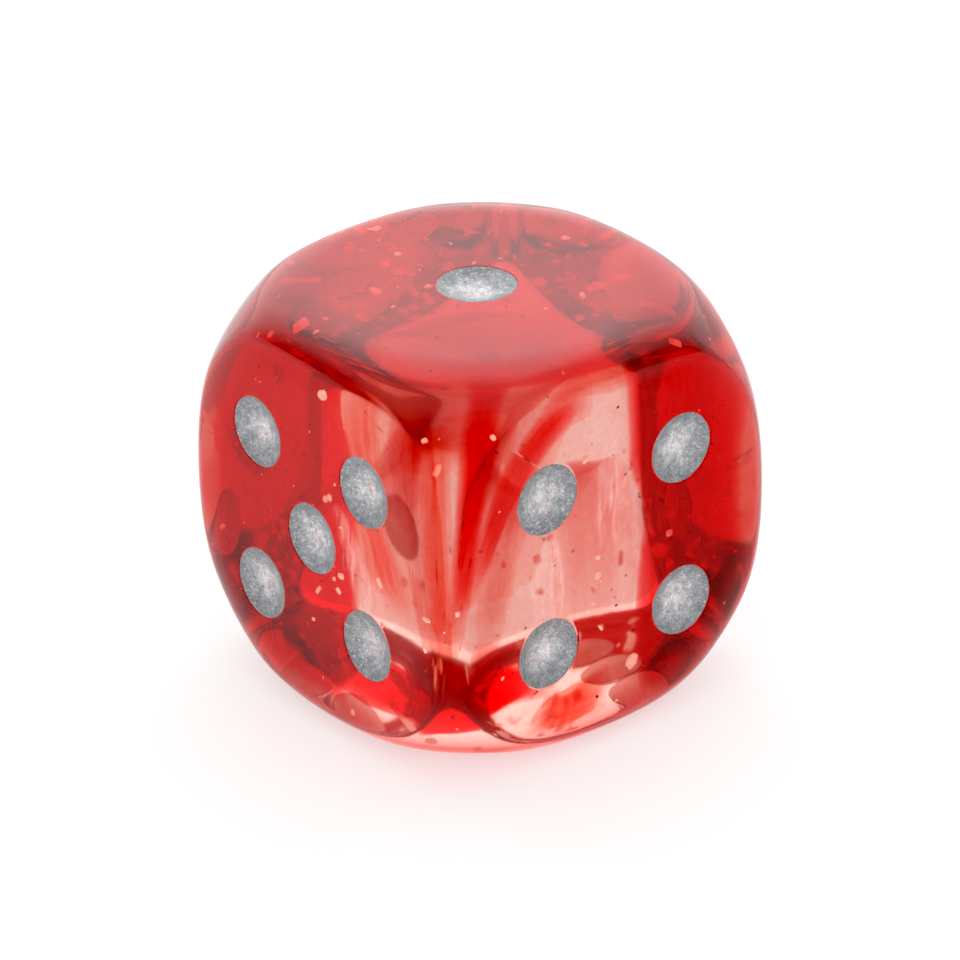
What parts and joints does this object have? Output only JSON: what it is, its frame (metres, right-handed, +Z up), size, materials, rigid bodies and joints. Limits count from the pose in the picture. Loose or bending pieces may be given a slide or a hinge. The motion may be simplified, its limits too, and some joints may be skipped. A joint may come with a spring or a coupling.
{
  "type": "six-sided die",
  "caption": "Round-cornered six-sided die in translucent marbled red resin, with silver-painted dimple pips.",
  "frame": {"origin": "centre of the face the die rests on, which carries the six", "axes": "+Z up through the one; the five faces -Y, the four +X, the two +Y and the three -X"},
  "size_m": [0.016, 0.016, 0.016],
  "materials": {
    "resin": "polished translucent marbled red casting resin",
    "pip_paint": "silver metal-flake paint, satin"
  },
  "bodies": {
    "root": {"die_body": "resin", "pip_one_centre": "pip_paint", "pip_two_upper_left": "pip_paint", "pip_two_lower_right": "pip_paint", "pip_three_upper_left": "pip_paint", "pip_three_centre": "pip_paint", "pip_three_lower_right": "pip_paint", "pip_four_upper_left": "pip_paint", "pip_four_upper_right": "pip_paint", "pip_four_lower_left": "pip_paint", "pip_four_lower_right": "pip_paint", "pip_five_upper_left": "pip_paint", "pip_five_upper_right": "pip_paint", "pip_five_lower_left": "pip_paint", "pip_five_lower_right": "pip_paint", "pip_five_centre": "pip_paint", "pip_six_upper_left": "pip_paint", "pip_six_upper_right": "pip_paint", "pip_six_lower_left": "pip_paint", "pip_six_lower_right": "pip_paint", "pip_six_middle_left": "pip_paint", "pip_six_middle_right": "pip_paint"}
  },
  "joints": []
}
